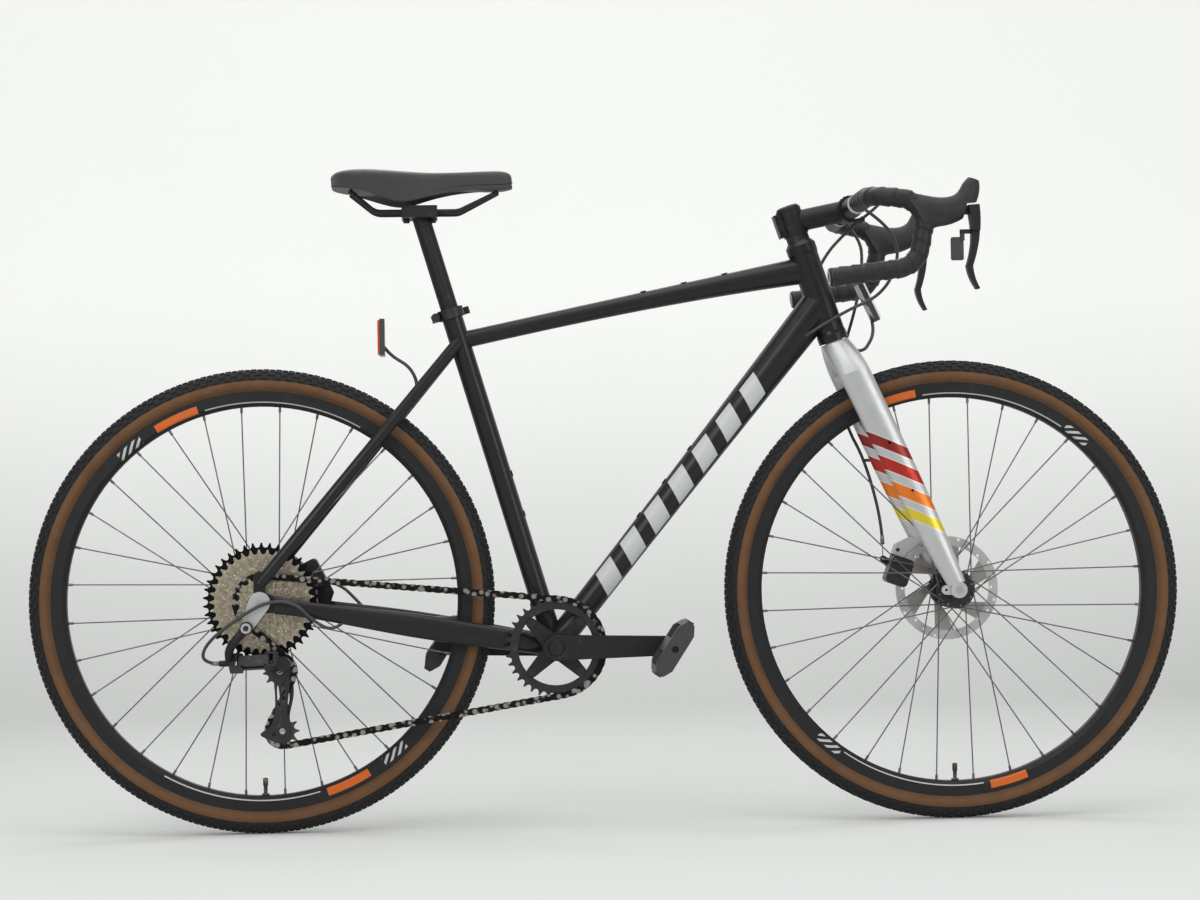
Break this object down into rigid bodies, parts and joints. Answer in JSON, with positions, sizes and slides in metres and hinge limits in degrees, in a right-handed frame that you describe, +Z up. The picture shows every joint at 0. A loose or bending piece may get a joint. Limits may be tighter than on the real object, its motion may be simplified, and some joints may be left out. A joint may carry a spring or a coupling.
{
  "type": "gravel bike",
  "caption": "Drop-bar gravel bike with tan-wall tyres, crossed spokes, disc brakes, a single chainring, a wide cassette and a moving rear derailleur.",
  "frame": {"origin": "on the ground under the middle of the wheelbase", "axes": "+X to the front wheel, +Y to the rider's left, +Z up"},
  "size_m": [1.7539, 0.4598, 1.0012],
  "materials": {
    "frame_paint": "gloss black paint",
    "fork_paint": "silver paint with four coloured bands on each leg",
    "black_alloy": "black anodised",
    "silver_alloy": "satin",
    "steel": "brushed",
    "chain_steel": "oiled",
    "black_plastic": "matte",
    "hood_rubber": "matte",
    "tape": "grained",
    "saddle_cover": "matte",
    "tyre": "tan side walls and black tread",
    "pad": "matte",
    "red_lens": "gloss",
    "clear_lens": "gloss",
    "housing": "gloss"
  },
  "bodies": {
    "frame": {"head_tube": "frame_paint", "top_tube": "frame_paint", "down_tube": "frame_paint", "seat_tube": "frame_paint", "bottom_bracket_shell": "frame_paint", "rear_triangle": "frame_paint", "derailleur_hanger": "black_alloy", "frame_bearings": "black_alloy", "seat_clamp": "black_alloy", "rear_axle": "steel", "rear_caliper": "black_alloy", "rear_reflector": "red_lens", "frame_cables": "housing", "chain": "chain_steel"},
    "seat_clamp_lever": {"seat_clamp_lever": "black_alloy"},
    "seatpost": {"seatpost": "black_alloy", "saddle_rails": "steel", "saddle_shell": "black_plastic", "saddle_cover": "saddle_cover"},
    "steering": {"fork_steerer": "fork_paint", "fork_legs": "fork_paint", "headset_spacers": "black_alloy", "stem": "black_alloy", "handlebar": "black_alloy", "bar_tape": "tape", "lever_hoods": "hood_rubber", "front_axle": "steel", "front_caliper": "black_alloy", "front_reflector": "clear_lens", "front_brake_cable": "housing"},
    "left_brake_lever": {"left_brake_lever": "black_alloy"},
    "right_brake_lever": {"right_brake_lever": "black_alloy"},
    "shift_paddle": {"shift_paddle": "black_plastic"},
    "front_caliper_arm": {"front_caliper_arm": "black_alloy"},
    "rear_caliper_arm": {"rear_caliper_arm": "black_alloy"},
    "front_brake_pad": {"front_brake_pad": "pad"},
    "rear_brake_pad": {"rear_brake_pad": "pad"},
    "front_wheel": {"front_tyre": "tyre", "front_rim": "black_alloy", "front_spokes": "steel", "front_hub": "black_alloy", "front_rotor": "steel"},
    "rear_wheel": {"rear_tyre": "tyre", "rear_rim": "black_alloy", "rear_spokes": "steel", "rear_hub": "black_alloy", "rear_rotor": "steel"},
    "cassette": {"cassette": "steel"},
    "crankset": {"right_crank": "black_alloy", "chainring": "black_alloy", "left_crank": "black_alloy"},
    "right_pedal": {"right_pedal": "black_plastic"},
    "left_pedal": {"left_pedal": "black_plastic"},
    "derailleur_knuckle": {"derailleur_knuckle": "black_alloy"},
    "derailleur_outer_link": {"derailleur_outer_link": "black_alloy"},
    "derailleur_inner_link": {"derailleur_inner_link": "black_alloy"},
    "derailleur_p_knuckle": {"derailleur_p_knuckle": "black_alloy"},
    "derailleur_cage": {"derailleur_cage": "black_alloy"},
    "guide_pulley": {"guide_pulley": "black_plastic"},
    "tension_pulley": {"tension_pulley": "black_plastic"}
  },
  "joints": [
    {"name": "steering", "type": "hinge", "parent": "frame", "child": "steering", "pos_m": [0.35101, 0, 0.73217], "axis": [-0.3173, 0, 0.9483], "range_deg": [-50, 50], "deforming": ["frame_cables"]},
    {"name": "front_wheel_spin", "type": "hinge", "parent": "steering", "child": "front_wheel", "pos_m": [0.526, 0, 0.351], "axis": [0, 1, 0], "continuous": true},
    {"name": "rear_wheel_spin", "type": "hinge", "parent": "frame", "child": "rear_wheel", "pos_m": [-0.526, 0, 0.351], "axis": [0, 1, 0], "continuous": true},
    {"name": "crank_spin", "type": "hinge", "parent": "frame", "child": "crankset", "pos_m": [-0.08551, 0, 0.275], "axis": [0, 1, 0], "continuous": true, "deforming": ["chain"]},
    {"name": "cassette_spin", "type": "hinge", "parent": "frame", "child": "cassette", "pos_m": [-0.526, 0, 0.351], "axis": [0, 1, 0], "continuous": true},
    {"name": "right_pedal_spin", "type": "hinge", "parent": "crankset", "child": "right_pedal", "pos_m": [0.08449, -0.115, 0.275], "axis": [0, 1, 0], "continuous": true},
    {"name": "left_pedal_spin", "type": "hinge", "parent": "crankset", "child": "left_pedal", "pos_m": [-0.25551, 0.115, 0.275], "axis": [0, 1, 0], "continuous": true},
    {"name": "left_lever_pull", "type": "hinge", "parent": "steering", "child": "left_brake_lever", "pos_m": [0.51136, 0.212, 0.90994], "axis": [0, 1, 0], "range_deg": [0, 18], "stiffness_Nm_per_rad": 1, "springref_deg": -17.19},
    {"name": "right_lever_pull", "type": "hinge", "parent": "steering", "child": "right_brake_lever", "pos_m": [0.51136, -0.212, 0.90994], "axis": [0, 1, 0], "range_deg": [0, 18], "stiffness_Nm_per_rad": 1, "springref_deg": -17.19},
    {"name": "shift_paddle_push", "type": "hinge", "parent": "right_brake_lever", "child": "shift_paddle", "pos_m": [0.51036, -0.212, 0.87094], "axis": [0, 0, -1], "range_deg": [0, 20], "stiffness_Nm_per_rad": 0.2, "springref_deg": -11.46},
    {"name": "front_caliper_arm_swing", "type": "hinge", "parent": "steering", "child": "front_caliper_arm", "pos_m": [0.45646, 0.0645, 0.37631], "axis": [0, 1, 0], "range_deg": [0, 14]},
    {"name": "rear_caliper_arm_swing", "type": "hinge", "parent": "frame", "child": "rear_caliper_arm", "pos_m": [-0.46007, 0.0805, 0.3846], "axis": [0, -1, 0], "range_deg": [0, 14]},
    {"name": "front_pad_squeeze", "type": "slide", "parent": "steering", "child": "front_brake_pad", "axis": [0, -1, 0], "range_m": [0, 0.0005]},
    {"name": "rear_pad_squeeze", "type": "slide", "parent": "frame", "child": "rear_brake_pad", "axis": [0, -1, 0], "range_m": [0, 0.0005]},
    {"name": "seatpost_height", "type": "slide", "parent": "frame", "child": "seatpost", "axis": [-0.284, 0, 0.9588], "range_m": [-0.11, 0.04]},
    {"name": "seat_clamp_lever_open", "type": "hinge", "parent": "frame", "child": "seat_clamp_lever", "pos_m": [-0.25938, 0.0154, 0.77574], "axis": [-0.284, 0, 0.9588], "range_deg": [0, 150]},
    {"name": "derailleur_b_pivot", "type": "hinge", "parent": "frame", "child": "derailleur_knuckle", "pos_m": [-0.545, -0.0844, 0.314], "axis": [0, 1, 0], "range_deg": [0, 12], "stiffness_Nm_per_rad": 1, "springref_deg": -17.19},
    {"name": "derailleur_shift", "type": "hinge", "parent": "derailleur_knuckle", "child": "derailleur_outer_link", "pos_m": [-0.557, -0.0738, 0.26417], "axis": [0, 0.4226, 0.9063], "range_deg": [-24.64, 36.4]},
    {"name": "derailleur_inner_link_swing", "type": "hinge", "parent": "derailleur_knuckle", "child": "derailleur_inner_link", "pos_m": [-0.557, -0.0602, 0.25783], "axis": [0, 0.4226, 0.9063], "range_deg": [-24.84, 36.6]},
    {"name": "derailleur_p_knuckle_swing", "type": "hinge", "parent": "derailleur_outer_link", "child": "derailleur_p_knuckle", "pos_m": [-0.51522, -0.0777, 0.26599], "axis": [0, 0.4226, 0.9063], "range_deg": [-36.6, 24.84]},
    {"name": "cage_swing", "type": "hinge", "parent": "derailleur_p_knuckle", "child": "derailleur_cage", "pos_m": [-0.493, -0.06, 0.259], "axis": [0, 1, 0], "range_deg": [-30, 8], "stiffness_Nm_per_rad": 1},
    {"name": "guide_pulley_spin", "type": "hinge", "parent": "derailleur_cage", "child": "guide_pulley", "pos_m": [-0.49922, -0.048, 0.24657], "axis": [0, 1, 0], "continuous": true},
    {"name": "tension_pulley_spin", "type": "hinge", "parent": "derailleur_cage", "child": "tension_pulley", "pos_m": [-0.49661, -0.048, 0.15761], "axis": [0, 1, 0], "continuous": true}
  ],
  "couplings": [
    {"joint": "cassette_spin", "follows": "crank_spin", "ratio": 1.8947},
    {"joint": "guide_pulley_spin", "follows": "crank_spin", "ratio": -3.2727},
    {"joint": "tension_pulley_spin", "follows": "crank_spin", "ratio": 3.2727},
    {"joint": "front_caliper_arm_swing", "follows": "left_lever_pull", "ratio": 0.75},
    {"joint": "front_pad_squeeze", "follows": "left_lever_pull", "m_per_rad": 0.0015915},
    {"joint": "rear_caliper_arm_swing", "follows": "right_lever_pull", "ratio": 0.75},
    {"joint": "rear_pad_squeeze", "follows": "right_lever_pull", "m_per_rad": 0.0015915},
    {"joint": "derailleur_inner_link_swing", "follows": "derailleur_shift", "ratio": 1},
    {"joint": "derailleur_p_knuckle_swing", "follows": "derailleur_shift", "ratio": -1}
  ]
}
